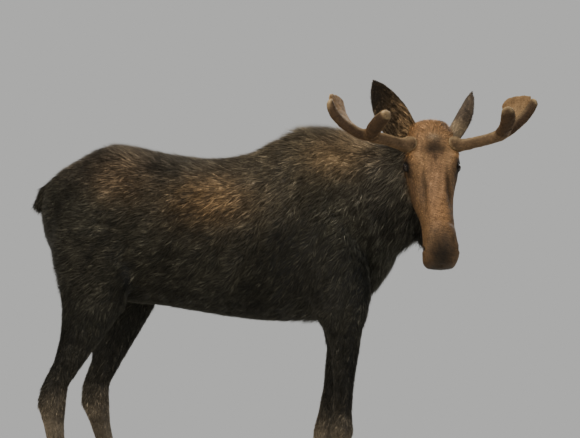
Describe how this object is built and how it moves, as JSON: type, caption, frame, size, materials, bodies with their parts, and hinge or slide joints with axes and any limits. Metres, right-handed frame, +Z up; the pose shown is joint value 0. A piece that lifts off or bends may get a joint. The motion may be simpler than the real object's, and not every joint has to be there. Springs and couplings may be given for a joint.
{
  "type": "moose",
  "caption": "Life-size standing young bull moose with small antlers in velvet, body level, head turned to its right; a still display animal.",
  "frame": {"origin": "on the floor, under the middle of the animal's box", "axes": "+X the way the body faces, +Y to the animal's left, +Z up; the head is turned to -Y"},
  "size_m": [2.2144, 0.7652, 2.0233],
  "materials": {
    "coat": "short dark brown fur, grizzled on the shoulder",
    "face_coat": "very short reddish-brown fur",
    "leg_coat": "short grey-tan fur",
    "velvet": "brown velvet on growing antler",
    "horn": "worn dark hoof horn",
    "eye": "wet dark eye"
  },
  "bodies": {
    "root": {"antler_left_beam": "velvet", "antler_left_brow_tine": "velvet", "antler_left_palm_front": "velvet", "antler_left_palm_rear": "velvet", "antler_right_beam": "velvet", "antler_right_brow_tine": "velvet", "antler_right_palm_front": "velvet", "antler_right_palm_rear": "velvet", "bell": "coat", "ear_left": "coat", "ear_right": "coat", "eye_left": "eye", "eye_right": "eye", "fore_left_dewclaw_inner": "horn", "fore_left_dewclaw_outer": "horn", "fore_left_hoof_inner": "horn", "fore_left_hoof_outer": "horn", "fore_left_lower_leg": "leg_coat", "fore_left_upper_leg": "coat", "fore_right_dewclaw_inner": "horn", "fore_right_dewclaw_outer": "horn", "fore_right_hoof_inner": "horn", "fore_right_hoof_outer": "horn", "fore_right_lower_leg": "leg_coat", "fore_right_upper_leg": "coat", "head": "face_coat", "hind_left_dewclaw_inner": "horn", "hind_left_dewclaw_outer": "horn", "hind_left_hoof_inner": "horn", "hind_left_hoof_outer": "horn", "hind_left_lower_leg": "leg_coat", "hind_left_upper_leg": "coat", "hind_right_dewclaw_inner": "horn", "hind_right_dewclaw_outer": "horn", "hind_right_hoof_inner": "horn", "hind_right_hoof_outer": "horn", "hind_right_lower_leg": "leg_coat", "hind_right_upper_leg": "coat", "neck": "coat", "tail": "coat", "trunk": "coat"}
  },
  "joints": []
}
